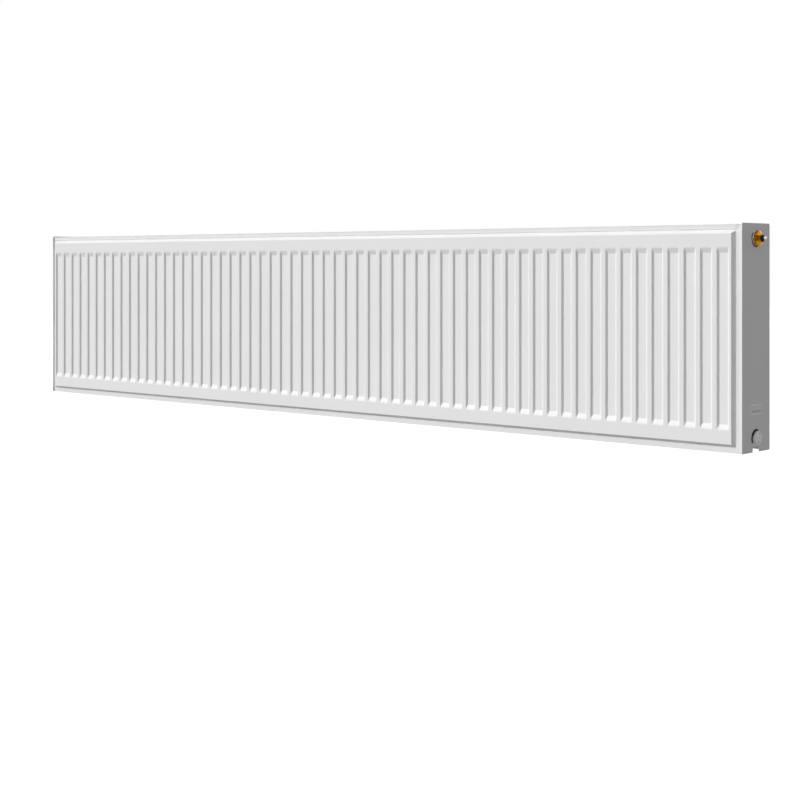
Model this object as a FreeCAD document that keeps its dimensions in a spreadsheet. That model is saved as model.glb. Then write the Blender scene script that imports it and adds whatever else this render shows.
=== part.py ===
"""Steel panel radiator: two pressed panels with convector fins, four connection tees, top grille,
clip-on side covers, a brass vent plug with a turning bleed screw, and six hanging lugs.

Frame, in millimetres: X runs along the radiator with 0 at its middle, Y points to the wall with 0 at
the back of the hanging lugs, Z points up with 0 at the bottom edge. The front panel faces -Y.
"""
import FreeCAD, Part
import os
import re

import Sketcher

os.makedirs("parts", exist_ok=True)
doc = FreeCAD.newDocument("radiator")

# ---------------------------------------------------------------- driving dimensions
DIMENSIONS = {
    # the radiator as a whole
    "overall_length": 2001.8,  # over the two side covers
    "overall_height": 400.8,  # height of the side covers
    "cover_depth": 97.0,  # front edge to back edge of a side cover
    "module_pitch": 33.333333,  # one water channel
    "flute_count": 59,
    # pressed sheets of the panels
    "sheet_gauge": 1.25,
    "panel_end_gap": 1.8,  # cover's outer face to the end of the sheets
    "panel_top_gap": 2.2,  # top of the cover to the top of the sheets
    "tray_proud": 6.1,  # tray face in front of the cover's edge
    "flange_setback": 3.1,  # flange behind the cover's edge
    "tray_margin": 10.4,  # edge flange left around the raised tray
    "tray_bevel_run": 5.0,
    "flute_width": 24.0,
    "flute_bevel_run": 3.5,
    "flute_depth": 3.4,
    "flute_end_margin": 40.4,  # sheet's edge to the end of a flute
    "flute_end_run": 9.4,
    "rib_width": 18.0,
    "rib_bevel_run": 4.0,
    "rib_end_margin": 59.0,
    # convector fins
    "fin_gauge": 0.5,
    "fin_depth": 38.0,
    "fin_weld_width": 13.0,
    "fin_crest_width": 12.0,
    "fin_end_margin": 48.0,
    # connection tees, with half-inch pipe threads
    "hub_low": 24.0,  # lower tapping's axis above the bottom
    "hub_spacing": 350.0,  # lower to upper tapping
    "tee_inset": 35.0,  # cover's outer face to the axis of the cross tube
    "tee_proud": 3.7,  # boss in front of the cover's outer face
    "boss_radius": 13.3,
    "barrel_radius": 13.0,
    "barrel_bore_radius": 9.0,
    "port_radius": 7.2,
    "thread_radius": 9.315,
    "thread_length": 16.5,
    "seat_radius": 11.3,
    "seat_depth": 1.2,
    # side covers
    "cover_gauge": 1.2,
    "cover_corner_radius": 3.0,
    "cover_hole_radius": 16.5,
    "cover_notch_width": 23.0,
    "tab_reach": 14.0,
    "tab_height": 30.0,
    "tab_low_edge": 75.0,
    "sliding_gap": 0.05,
    # top grille
    "grille_gauge": 0.8,
    "grille_lip": 8.5,
    "grille_end_gap": 2.5,
    "grille_side_gap": 0.4,
    "slot_length": 38.0,
    "slot_width": 10.0,
    "slot_pitch_long": 48.0,
    "slot_pitch_deep": 18.5,
    "slot_columns": 41,
    "slot_rows": 4,
    "clip_width": 14.0,
    "clip_gauge": 1.0,
    "clip_leg": 9.0,
    "clip_inner_station": 300.0,  # the middle to the inner clips
    "clip_outer_station": 900.0,
    # hanging lugs
    "lug_depth": 9.0,
    "lug_gauge": 2.0,
    "lug_width": 40.0,
    "lug_height": 42.0,
    "lug_pocket_height": 20.0,
    "lug_end_inset": 150.0,
    "lug_edge_inset": 48.0,  # sheet's edge to the closed end of the lug
    # plugs, measured along their axis from the cover's outer face
    "shank_radius": 9.3,
    "shank_length": 12.0,
    "seal_radius": 11.2,
    "seal_bore_radius": 9.4,
    "vent_head_radius": 13.8,
    "vent_cone_start": 7.0,
    "vent_cone_end": 11.7,
    "vent_cone_radius": 7.5,
    "vent_hex_flats": 24.4,
    "neck_radius": 4.0,
    "neck_lip_radius": 4.4,
    "neck_lip_start": 13.05,
    "neck_end": 13.7,
    "nozzle_radius": 6.7,
    "nozzle_start": 11.75,
    "nozzle_end": 13.8,
    "nozzle_groove_radius": 4.5,
    "spout_radius": 0.45,
    "screw_radius": 2.9,
    "screw_bore_radius": 2.95,
    "screw_head_start": 14.0,
    "screw_tip": 21.2,
    "screw_key_size": 5.0,
    "screw_end": 0.0,
    "bleed_seat": -4.0,
    "bleed_seal_radius": 2.3,
    "bleed_seal_nose_radius": 1.4,
    "bleed_seal_nose_length": 1.0,
    "bleed_port_radius": 1.0,
    "blind_head_radius": 12.2,
    "blind_head_height": 1.5,
    "blind_edge_rise": 0.8,
    "blind_edge_run": 1.6,
    "blind_hex_flats": 12.0,
    "blind_hex_height": 3.0,
    # blank identification badge on the right side cover
    "badge_width": 38.0,
    "badge_height": 19.0,
    "badge_gauge": 0.5,
    "badge_rim": 2.0,
    "badge_relief": 0.2,
    "badge_band_low": 5.0,  # badge's lower edge to the lower edge of its raised band
    "badge_band_high": 9.2,
    "badge_centre_height": 74.5,
}

sheet = doc.addObject("Spreadsheet::Sheet", "dims")
for row, (alias, value) in enumerate(DIMENSIONS.items(), start=1):
    sheet.set(f"A{row}", alias)
    sheet.set(f"B{row}", str(value))
    sheet.setAlias(f"B{row}", alias)
doc.recompute()

# ---------------------------------------------------------------- places worked out from them
HALF_LENGTH = "overall_length/2"
COVER_INNER = "(overall_length/2 - cover_gauge)"
PANEL_HALF = "(overall_length/2 - panel_end_gap)"
PANEL_HEIGHT = "(overall_height - panel_top_gap)"
TRAY_HEIGHT = "(tray_proud + flange_setback)"
COVER_BACK_Y = "-(lug_depth + tray_proud)"
COVER_FRONT_Y = "-(lug_depth + tray_proud + cover_depth)"
MIDDLE_Y = "-(lug_depth + tray_proud + cover_depth/2)"
FRONT_JOINT_Y = "(-(lug_depth + tray_proud + cover_depth) + flange_setback + sheet_gauge)"
INNER_GAP = "(cover_depth - 2*flange_setback - 4*sheet_gauge)"
HUB_HEIGHTS = {"top": "(hub_low + hub_spacing)", "bottom": "hub_low"}
ENDS = {"left": -1, "right": 1}
FUNCTIONS = {"sqrt", "cos", "tan"}
EXPORTED = []


def cells(text):
    """The expression with each alias turned into a reference to its spreadsheet cell."""
    return re.sub(r"[a-z][a-z_]+", lambda m: m[0] if m[0] in FUNCTIONS else f"dims.{m[0]}", str(text))


def bind(obj, **sizes):
    """Bind properties to expressions; a double underscore stands for the dot in a property's path."""
    for path, text in sizes.items():
        obj.setExpression(path.replace("__", "."), cells(text))


def place(obj, x="0", y="0", z="0", rotation=None):
    """Give an object its rotation and bind its position."""
    if rotation:
        axis, angle = rotation
        obj.Placement = FreeCAD.Placement(FreeCAD.Vector(), FreeCAD.Rotation(FreeCAD.Vector(*axis), angle))
    bind(obj, Placement__Base__x=x, Placement__Base__y=y, Placement__Base__z=z)


def keep(obj, label):
    """Name a finished sub-part, which is also the name of its file."""
    obj.Label = label
    EXPORTED.append(obj)
    return obj


# ---------------------------------------------------------------- sketches and features
def new_sketch(body, name, plane, level):
    """An empty sketch on one of the body's own planes, moved along the plane's normal."""
    sketch = body.newObject("Sketcher::SketchObject", name)
    support = next(f for f in body.Origin.OriginFeatures if f.Role == plane)
    sketch.AttachmentSupport = [(support, "")]
    sketch.MapMode = "FlatFace"
    bind(sketch, AttachmentOffset__Base__z=level)
    return sketch


def pin_point(sketch, geometry, position, x, y):
    """Tie one sketch point to the origin by two bound distances."""
    for kind, text in (("DistanceX", x), ("DistanceY", y)):
        value = float(sketch.evalExpression(cells(text)))
        index = sketch.addConstraint(Sketcher.Constraint(kind, -1, 1, geometry, position, value))
        sketch.setExpression(f"Constraints[{index}]", cells(text))


def polygon(body, name, plane, points, level="0"):
    """A closed outline whose corners are expressions of the driving dimensions."""
    sketch = new_sketch(body, name, plane, level)
    corners = [
        FreeCAD.Vector(float(sketch.evalExpression(cells(x))), float(sketch.evalExpression(cells(y))), 0)
        for x, y in points
    ]
    count = len(corners)
    lines = [Part.LineSegment(corners[i], corners[(i + 1) % count]) for i in range(count)]
    sketch.addGeometry(lines, False)
    for i in range(count):
        sketch.addConstraint(Sketcher.Constraint("Coincident", i, 2, (i + 1) % count, 1))
    for i, (x, y) in enumerate(points):
        pin_point(sketch, i, 1, x, y)
    return sketch


def rectangle(body, name, plane, low, high, level="0"):
    """A rectangle between two opposite corners."""
    (x0, y0), (x1, y1) = low, high
    return polygon(body, name, plane, [(x0, y0), (x1, y0), (x1, y1), (x0, y1)], level)


def circle(body, name, plane, centre, radius, level="0"):
    """A circle with a bound centre and radius."""
    sketch = new_sketch(body, name, plane, level)
    size = float(sketch.evalExpression(cells(radius)))
    sketch.addGeometry(Part.Circle(FreeCAD.Vector(0, 0, 0), FreeCAD.Vector(0, 0, 1), size), False)
    index = sketch.addConstraint(Sketcher.Constraint("Radius", 0, size))
    sketch.setExpression(f"Constraints[{index}]", cells(radius))
    pin_point(sketch, 0, 3, *centre)
    return sketch


def feature(body, kind, name, profile, **sizes):
    """A PartDesign feature made from one sketch."""
    made = body.newObject(f"PartDesign::{kind}", name)
    made.Profile = profile
    bind(made, **sizes)
    return made


def loft(body, kind, name, first, last):
    """A straight-sided loft between two sketches."""
    made = body.newObject(f"PartDesign::{kind}", name)
    made.Profile = first
    made.Sections = [last]
    made.Ruled = True
    return made


def repeat(body, name, original, sketch, pitch, count):
    """Copies of a feature along its sketch's horizontal axis."""
    doc.recompute()
    pattern = body.newObject("PartDesign::LinearPattern", name)
    pattern.Originals = [original]
    pattern.Direction = (sketch, ["H_Axis"])
    pattern.Mode = "Spacing"
    bind(pattern, Offset=pitch, Occurrences=count)
    body.Tip = pattern
    return pattern


def new_body(name):
    return doc.addObject("PartDesign::Body", name)


def boolean(kind, name, base, tool):
    """A Part::Cut or Part::Common of two objects."""
    made = doc.addObject(f"Part::{kind}", name)
    made.Base = base
    made.Tool = tool
    return made


def fuse(name, shapes):
    made = doc.addObject("Part::MultiFuse", name)
    made.Shapes = shapes
    return made


def mirrored(source, label, normal, base=(0, 0, 0)):
    """The same part for the opposite end or the opposite panel."""
    made = doc.addObject("Part::Mirroring", label)
    made.Source = source
    made.Normal = FreeCAD.Vector(*normal)
    made.Base = FreeCAD.Vector(*base)
    return keep(made, label)


def cylinder(name, axis, radius, length, x, y, z):
    """A cylinder that starts at a bound point and runs along a row axis."""
    rotations = {"+X": ((0, 1, 0), 90), "-X": ((0, 1, 0), -90), "+Y": ((1, 0, 0), -90)}
    made = doc.addObject("Part::Cylinder", name)
    bind(made, Radius=radius, Height=length)
    place(made, x, y, z, rotations[axis])
    return made


# ---------------------------------------------------------------- pressed panel sheets
def skin_shift(run, rise):
    """How far a pressed wall's inner edge stands from its outer edge, at the same corner of the bend."""
    slope = f"({run}/({rise}))"
    return f"sheet_gauge*(sqrt(1 + {slope}*{slope}) - {slope})"


def tray(body, name, low_level, high_level, inset):
    """The raised field of a panel, with bevelled sides; inset moves its walls inwards."""
    outlines = []
    for stage, level, margin in (
        ("foot", low_level, "tray_margin"),
        ("face", high_level, "tray_margin + tray_bevel_run"),
    ):
        side = f"overall_length/2 - ({margin}) - ({inset})"
        low = f"{margin} + {inset}"
        high = f"{PANEL_HEIGHT} - ({margin}) - ({inset})"
        corners = (f"-({side})", low), (side, high)
        outlines.append(rectangle(body, f"{name}_{stage}", "XZ_Plane", *corners, level))
    return loft(body, "AdditiveLoft", name, *outlines)


def flutes(body, name, face_level, side_shift, end_shift):
    """A row of upright grooves with bevelled sides and ends, sunk into the tray."""
    outlines = []
    for stage, level, side_run, end_run in (
        ("mouth", face_level, "0", "0"),
        ("floor", f"{face_level} - flute_depth", "flute_bevel_run", "flute_end_run"),
    ):
        centre = "-module_pitch*(flute_count - 1)/2"
        half = f"(flute_width/2 - {side_run} + {side_shift})"
        low = f"flute_end_margin + {end_run} - {end_shift}"
        high = f"{PANEL_HEIGHT} - flute_end_margin - {end_run} + {end_shift}"
        corners = (f"{centre} - {half}", low), (f"{centre} + {half}", high)
        outlines.append(rectangle(body, f"{name}_{stage}", "XZ_Plane", *corners, level))
    groove = loft(body, "SubtractiveLoft", name, *outlines)
    repeat(body, f"{name}_row", groove, outlines[0], "module_pitch", "flute_count")


def make_outer_sheet():
    """The panel's outer pressing: edge flange, raised tray and flutes, all of one gauge."""
    face = f"sheet_gauge + {TRAY_HEIGHT}"
    outside = new_body("panel_outside")
    flange_corners = (f"-{PANEL_HALF}", "0"), (PANEL_HALF, PANEL_HEIGHT)
    flange = rectangle(outside, "flange_outline", "XZ_Plane", *flange_corners)
    feature(outside, "Pad", "flange", flange, Length="sheet_gauge")
    tray(outside, "tray", "sheet_gauge", face, "0")
    flutes(outside, "flute", face, "0", "0")

    inside = new_body("panel_inside")
    tray(inside, "cavity", "0", TRAY_HEIGHT, skin_shift("tray_bevel_run", TRAY_HEIGHT))
    side_shift = skin_shift("flute_bevel_run", "flute_depth")
    end_shift = skin_shift("flute_end_run", "flute_depth")
    flutes(inside, "ridge", TRAY_HEIGHT, side_shift, end_shift)

    pressed = boolean("Cut", "outer_sheet", outside, inside)
    place(pressed, y=FRONT_JOINT_Y)
    return keep(pressed, "front_outer_sheet")


def rib_row(body, kind, name, foot_level, crest_level, inset):
    """A row of pressed ribs on the inner sheet, or the hollows behind them."""
    outlines = []
    for stage, level, run in (("foot", foot_level, "0"), ("crest", crest_level, "rib_bevel_run")):
        centre = "-module_pitch*(flute_count - 1)/2"
        half = f"(rib_width/2 - {run} - {inset})"
        low = f"rib_end_margin + {run} + {inset}"
        high = f"{PANEL_HEIGHT} - rib_end_margin - {run} - ({inset})"
        corners = (f"{centre} - {half}", low), (f"{centre} + {half}", high)
        outlines.append(rectangle(body, f"{name}_{stage}", "XZ_Plane", *corners, level))
    rib = loft(body, kind, name, *outlines)
    repeat(body, f"{name}_row", rib, outlines[0], "module_pitch", "flute_count")


def make_inner_sheet():
    """The panel's inner pressing: flat, with ribs that reach the flute floors, and two water ports."""
    body = new_body("inner_sheet")
    corners = (f"-{PANEL_HALF}", "0"), (PANEL_HALF, PANEL_HEIGHT)
    outline = rectangle(body, "plate_outline", "XZ_Plane", *corners, "-sheet_gauge")
    feature(body, "Pad", "plate", outline, Length="sheet_gauge")
    rise = f"({TRAY_HEIGHT} - flute_depth)"
    rib_row(body, "AdditiveLoft", "rib", "0", rise, "0")
    wall = skin_shift("rib_bevel_run", rise)
    rib_row(body, "SubtractiveLoft", "hollow", "-sheet_gauge", f"{rise} - sheet_gauge", wall)
    for end, side in ENDS.items():
        for level, height in HUB_HEIGHTS.items():
            centre = (f"{side}*({HALF_LENGTH} - tee_inset)", height)
            port = circle(body, f"port_{level}_{end}", "XZ_Plane", centre, "barrel_bore_radius")
            hole = feature(body, "Pocket", f"hole_{level}_{end}", port, Length="2*sheet_gauge")
            hole.Midplane = True
    place(body, y=FRONT_JOINT_Y)
    return keep(body, "front_inner_sheet")


def make_convector():
    """The corrugated fin sheet that is spot-welded to the back of the front panel's water channels."""
    body = new_body("convector")
    foot = "fin_weld_width/2"
    crest = "(module_pitch - fin_crest_width)/2"
    step = "module_pitch"
    outer = "fin_depth"
    start = f"-{step}*(flute_count - 2)/2"
    wave = [
        (f"{start} - {foot}", "0"),
        (f"{start} + {foot}", "0"),
        (f"{start} + {crest}", f"{outer} - fin_gauge"),
        (f"{start} + {step} - {crest}", f"{outer} - fin_gauge"),
        (f"{start} + {step} - {foot}", "0"),
        (f"{start} + {step} + {foot}", "0"),
        (f"{start} + {step} + {foot}", "fin_gauge"),
        (f"{start} + {step} - {foot} + fin_gauge", "fin_gauge"),
        (f"{start} + {step} - {crest} + fin_gauge", outer),
        (f"{start} + {crest} - fin_gauge", outer),
        (f"{start} + {foot} - fin_gauge", "fin_gauge"),
        (f"{start} - {foot}", "fin_gauge"),
    ]
    outline = polygon(body, "wave", "XY_Plane", wave, "fin_end_margin")
    height = f"{PANEL_HEIGHT} - 2*fin_end_margin"
    fin = feature(body, "Pad", "fin", outline, Length=height)
    repeat(body, "fin_row", fin, outline, step, "flute_count - 2")
    place(body, y=f"{FRONT_JOINT_Y} + sheet_gauge")
    return keep(body, "front_convector")


# ---------------------------------------------------------------- connection tees
def make_tee(level, end):
    """A cross tube between the panels with a threaded boss that comes out through the side cover."""
    side = ENDS[end]
    height = HUB_HEIGHTS[level]
    name = f"tee_{level}_{end}"
    along = "+X" if side > 0 else "-X"
    axis_x = f"{side}*({HALF_LENGTH} - tee_inset)"
    back_y = f"{FRONT_JOINT_Y} + sheet_gauge"
    mouth = f"{HALF_LENGTH} + tee_proud"

    def on_axis(part, radius, length, start):
        return cylinder(f"{name}_{part}", along, radius, length, f"{side}*({start})", MIDDLE_Y, height)

    barrel = cylinder(f"{name}_barrel", "+Y", "barrel_radius", INNER_GAP, axis_x, back_y, height)
    boss = on_axis("boss", "boss_radius", "tee_inset + tee_proud", f"{HALF_LENGTH} - tee_inset")
    bore = cylinder(f"{name}_bore", "+Y", "barrel_bore_radius", INNER_GAP, axis_x, back_y, height)
    port_start = f"{HALF_LENGTH} - tee_inset"
    port = on_axis("port", "port_radius", "tee_inset", port_start)
    thread_start = f"{mouth} - seat_depth - thread_length"
    thread = on_axis("thread", "thread_radius", "thread_length + seat_depth", thread_start)
    seat = on_axis("seat", "seat_radius", "seat_depth", f"{mouth} - seat_depth")
    solid = fuse(f"{name}_solid", [barrel, boss])
    hollow = fuse(f"{name}_hollow", [bore, port, thread, seat])
    return keep(boolean("Cut", name, solid, hollow), name)


# ---------------------------------------------------------------- covers, grille and clips
def make_side_cover():
    """The right side cover: a flat plate with four clip tabs, two tapping holes and an open notch."""
    body = new_body("side_cover")
    corners = (COVER_FRONT_Y, "0"), (COVER_BACK_Y, "overall_height")
    outline = rectangle(body, "plate_edge", "YZ_Plane", *corners, COVER_INNER)
    feature(body, "Pad", "plate", outline, Length="cover_gauge")
    for level, height in HUB_HEIGHTS.items():
        hole = circle(body, f"{level}_hole", "YZ_Plane", (MIDDLE_Y, height), "cover_hole_radius", HALF_LENGTH)
        feature(body, "Pocket", f"{level}_opening", hole, Length="cover_gauge")
    notch_low = f"{MIDDLE_Y} - cover_notch_width/2", "0"
    notch_high = f"{MIDDLE_Y} + cover_notch_width/2", "hub_low"
    notch = rectangle(body, "notch_edge", "YZ_Plane", notch_low, notch_high, HALF_LENGTH)
    feature(body, "Pocket", "notch", notch, Length="cover_gauge")
    front = f"{MIDDLE_Y} - {INNER_GAP}/2 + sliding_gap"
    back = f"{MIDDLE_Y} + {INNER_GAP}/2 - sliding_gap - cover_gauge"
    low = "tab_low_edge"
    high = f"{PANEL_HEIGHT} - tab_low_edge - tab_height"
    for name, y, z in (
        ("front_low", front, low),
        ("front_high", front, high),
        ("back_low", back, low),
        ("back_high", back, high),
    ):
        tab_corners = (y, z), (f"{y} + cover_gauge", f"{z} + tab_height")
        tab = rectangle(body, f"tab_{name}_edge", "YZ_Plane", *tab_corners, f"{COVER_INNER} - tab_reach")
        feature(body, "Pad", f"tab_{name}", tab, Length="tab_reach")
    doc.recompute()
    square_plate = body.Tip
    rounded = body.newObject("PartDesign::Fillet", "corners")
    rounded.Base = (square_plate, corner_edges(square_plate.Shape))
    bind(rounded, Radius="cover_corner_radius")
    return keep(body, "right_side_cover")


def corner_edges(shape):
    """Names of the four edges through the plate's thickness at its outer corners."""
    box = shape.BoundBox
    wanted = []
    for number, edge in enumerate(shape.Edges, start=1):
        middle = edge.CenterOfMass
        at_y = min(abs(middle.y - box.YMin), abs(middle.y - box.YMax)) < 0.01
        at_z = min(abs(middle.z - box.ZMin), abs(middle.z - box.ZMax)) < 0.01
        if at_y and at_z and len(edge.Vertexes) == 2:
            wanted.append(f"Edge{number}")
    return wanted


def make_badge():
    """A blank badge plate with a raised rim and a raised band, stuck on the right side cover."""
    body = new_body("badge")
    centre_y = MIDDLE_Y
    low = f"{centre_y} - badge_width/2", "badge_centre_height - badge_height/2"
    high = f"{centre_y} + badge_width/2", "badge_centre_height + badge_height/2"
    outline = rectangle(body, "badge_edge", "YZ_Plane", low, high, HALF_LENGTH)
    feature(body, "Pad", "badge_plate_pad", outline, Length="badge_gauge")
    inner_low_y = f"{centre_y} - badge_width/2 + badge_rim"
    inner_high_y = f"{centre_y} + badge_width/2 - badge_rim"
    base = "badge_centre_height - badge_height/2"
    fields = (
        ("lower", f"{base} + badge_rim", f"{base} + badge_band_low"),
        ("upper", f"{base} + badge_band_high", f"{base} + badge_height - badge_rim"),
    )
    for name, low_z, high_z in fields:
        field_corners = (inner_low_y, low_z), (inner_high_y, high_z)
        level = f"{HALF_LENGTH} + badge_gauge"
        field = rectangle(body, f"{name}_field", "YZ_Plane", *field_corners, level)
        feature(body, "Pocket", f"{name}_relief", field, Length="badge_relief")
    return keep(body, "badge_plate")


def make_grille():
    """The slotted top grille, a shallow channel with its two long edges turned down."""
    body = new_body("grille")
    reach = f"({HALF_LENGTH} - grille_end_gap)"
    half = f"({INNER_GAP}/2 - grille_side_gap)"
    under = "-grille_gauge"
    lip = "-(grille_gauge + grille_lip)"
    section = [
        (f"{MIDDLE_Y} - {half}", "0"),
        (f"{MIDDLE_Y} - {half}", lip),
        (f"{MIDDLE_Y} - {half} + grille_gauge", lip),
        (f"{MIDDLE_Y} - {half} + grille_gauge", under),
        (f"{MIDDLE_Y} + {half} - grille_gauge", under),
        (f"{MIDDLE_Y} + {half} - grille_gauge", lip),
        (f"{MIDDLE_Y} + {half}", lip),
        (f"{MIDDLE_Y} + {half}", "0"),
    ]
    outline = polygon(body, "channel_section", "YZ_Plane", section, f"-{reach}")
    feature(body, "Pad", "channel", outline, Length=f"2*{reach}")
    first_x = "-slot_pitch_long*(slot_columns - 1)/2"
    first_y = f"{MIDDLE_Y} - slot_pitch_deep*(slot_rows - 1)/2"
    slot_low = f"{first_x} - slot_length/2", f"{first_y} - slot_width/2"
    slot_high = f"{first_x} + slot_length/2", f"{first_y} + slot_width/2"
    slot = rectangle(body, "slot_edge", "XY_Plane", slot_low, slot_high)
    cut = feature(body, "Pocket", "slot", slot, Length="grille_gauge")
    slots = repeat(body, "slots", cut, slot, "slot_pitch_long", "slot_columns")
    slots.Direction2 = (slot, ["V_Axis"])
    slots.Mode2 = "Spacing"
    bind(slots, Offset2="slot_pitch_deep", Occurrences2="slot_rows")
    place(body, z=PANEL_HEIGHT)
    return keep(body, "top_grille")


def make_grille_clips():
    """Four sprung cross strips, welded between the panels, that the grille's lips rest on."""
    strips = []
    rest = f"({PANEL_HEIGHT} - grille_gauge - grille_lip)"
    stations = ("-clip_outer_station", "-clip_inner_station", "clip_inner_station", "clip_outer_station")
    for number, station in enumerate(stations, start=1):
        body = new_body(f"clip_{number}")
        half = f"({INNER_GAP}/2)"
        section = [
            (f"{MIDDLE_Y} - {half}", "0"),
            (f"{MIDDLE_Y} - {half}", "-clip_leg"),
            (f"{MIDDLE_Y} - {half} + clip_gauge", "-clip_leg"),
            (f"{MIDDLE_Y} - {half} + clip_gauge", "-clip_gauge"),
            (f"{MIDDLE_Y} + {half} - clip_gauge", "-clip_gauge"),
            (f"{MIDDLE_Y} + {half} - clip_gauge", "-clip_leg"),
            (f"{MIDDLE_Y} + {half}", "-clip_leg"),
            (f"{MIDDLE_Y} + {half}", "0"),
        ]
        outline = polygon(body, f"clip_section_{number}", "YZ_Plane", section)
        pad = feature(body, "Pad", f"clip_pad_{number}", outline, Length="clip_width")
        pad.Midplane = True
        place(body, x=station, z=rest)
        strips.append(body)
    group = doc.addObject("Part::Compound", "clips")
    group.Links = strips
    return keep(group, "grille_clips")


# ---------------------------------------------------------------- hanging lugs
def make_lug(level, station, x):
    """A folded strip on the back of the radiator whose pocket drops over a bracket's hook."""
    body = new_body(f"folded_{level}_{station}")
    inner = "-(lug_depth - lug_gauge)"
    section = [
        ("-lug_depth", "0"),
        ("-lug_depth", "-lug_height"),
        (inner, "-lug_height"),
        (inner, "-lug_gauge"),
        ("-lug_gauge", "-lug_gauge"),
        ("-lug_gauge", "-(lug_pocket_height + lug_gauge)"),
        ("0", "-(lug_pocket_height + lug_gauge)"),
        ("0", "0"),
    ]
    outline = polygon(body, f"lug_section_{level}_{station}", "YZ_Plane", section)
    pad = feature(body, "Pad", f"lug_pad_{level}_{station}", outline, Length="lug_width")
    pad.Midplane = True
    if level == "top":
        place(body, x=x, z=f"{PANEL_HEIGHT} - lug_edge_inset")
        return keep(body, f"lug_{level}_{station}")
    place(body, x=x, z="lug_edge_inset")
    turned = doc.addObject("Part::Mirroring", f"turned_{station}")
    turned.Source = body
    turned.Normal = FreeCAD.Vector(0, 0, 1)
    turned.Base = FreeCAD.Vector(0, 0, DIMENSIONS["lug_edge_inset"])
    return keep(turned, f"lug_{level}_{station}")


# ---------------------------------------------------------------- plugs
def turned_part(name, profile, height):
    """A turned part around a tapping's axis; x is measured from the cover's outer face."""
    body = new_body(name)
    outline = polygon(body, f"{name}_profile", "XZ_Plane", profile)
    spin = feature(body, "Revolution", f"{name}_turned", outline)
    spin.ReferenceAxis = (outline, ["H_Axis"])
    spin.Angle = 360
    place(body, x=HALF_LENGTH, y=MIDDLE_Y, z=height)
    return body


def prism(name, sides, flats, start, length, height, turn):
    """A prism of an even number of sides around a tapping's axis, sized across its flats."""
    made = doc.addObject("Part::Prism", name)
    made.Polygon = sides
    bind(made, Circumradius=f"({flats})/2/cos(180/{sides})", Height=length)
    upright = FreeCAD.Rotation(FreeCAD.Vector(0, 1, 0), 90)
    made.Placement.Rotation = FreeCAD.Rotation(FreeCAD.Vector(1, 0, 0), turn).multiply(upright)
    bind(
        made,
        Placement__Base__x=f"{HALF_LENGTH} + {start}",
        Placement__Base__y=MIDDLE_Y,
        Placement__Base__z=height,
    )
    return made


def make_seal(label, height):
    """The flat ring that seals a plug in the seat of its tee."""
    low = "tee_proud - seat_depth"
    high = "tee_proud"
    ring = [
        (low, "seal_bore_radius"),
        (high, "seal_bore_radius"),
        (high, "seal_radius"),
        (low, "seal_radius"),
    ]
    return keep(turned_part(f"{label}_ring", ring, height), label)


def make_vent_plug():
    """The brass plug with its hexagon, its turned cone, the neck for the nozzle and the screw's bore."""
    inner_end = "(tee_proud - seat_depth - shank_length)"
    profile = [
        (inner_end, "bleed_port_radius"),
        (inner_end, "shank_radius"),
        ("tee_proud", "shank_radius"),
        ("tee_proud", "vent_head_radius"),
        ("vent_cone_start", "vent_head_radius"),
        ("vent_cone_end", "vent_cone_radius"),
        ("vent_cone_end", "neck_radius"),
        ("neck_lip_start", "neck_radius"),
        ("neck_lip_start", "neck_lip_radius"),
        ("neck_end", "neck_lip_radius"),
        ("neck_end", "screw_bore_radius"),
        ("bleed_seat", "screw_bore_radius"),
        ("bleed_seat", "bleed_port_radius"),
    ]
    height = HUB_HEIGHTS["top"]
    turned = turned_part("vent_turned", profile, height)
    hexagon = prism(
        "vent_hexagon", 6, "vent_hex_flats", "tee_proud", "vent_cone_end - tee_proud", height, 30
    )
    shank_start = f"{HALF_LENGTH} + {inner_end}"
    shank_length = f"tee_proud - {inner_end}"
    shank = cylinder("vent_shank", "+X", "shank_radius", shank_length, shank_start, MIDDLE_Y, height)
    neck_start = f"{HALF_LENGTH} + vent_cone_end"
    neck_length = "neck_end - vent_cone_end"
    neck = cylinder("vent_neck", "+X", "neck_lip_radius", neck_length, neck_start, MIDDLE_Y, height)
    envelope = fuse("vent_envelope", [hexagon, shank, neck])
    return keep(boolean("Common", "vent_body", turned, envelope), "vent_plug_body")


def make_nozzle():
    """The black discharge nozzle, a ring that turns on the plug's neck behind its lip."""
    profile = [
        ("nozzle_start", "neck_radius + sliding_gap"),
        ("nozzle_start", "nozzle_radius"),
        ("nozzle_end", "nozzle_radius"),
        ("nozzle_end", "nozzle_groove_radius"),
        ("neck_lip_start - sliding_gap", "nozzle_groove_radius"),
        ("neck_lip_start - sliding_gap", "neck_radius + sliding_gap"),
    ]
    height = HUB_HEIGHTS["top"]
    ring = turned_part("nozzle_ring", profile, height)
    spout = doc.addObject("Part::Cylinder", "nozzle_spout")
    bind(spout, Radius="spout_radius", Height="nozzle_radius")
    middle = f"{HALF_LENGTH} + (nozzle_start + neck_lip_start)/2"
    place(spout, middle, MIDDLE_Y, height, ((1, 0, 0), 180))
    return keep(boolean("Cut", "nozzle", ring, spout), "vent_nozzle")


def make_bleed_screw():
    """The bleed screw: a round stem in the plug and a square head for the key."""
    profile = [
        ("screw_end", "0"),
        ("screw_end", "screw_radius"),
        ("screw_head_start", "screw_radius"),
        ("screw_head_start", "0"),
    ]
    height = HUB_HEIGHTS["top"]
    stem = turned_part("screw_stem", profile, height)
    length = "screw_tip - screw_head_start"
    head = prism("screw_head", 4, "screw_key_size", "screw_head_start", length, height, 45)
    return keep(fuse("screw", [stem, head]), "bleed_screw")


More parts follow.
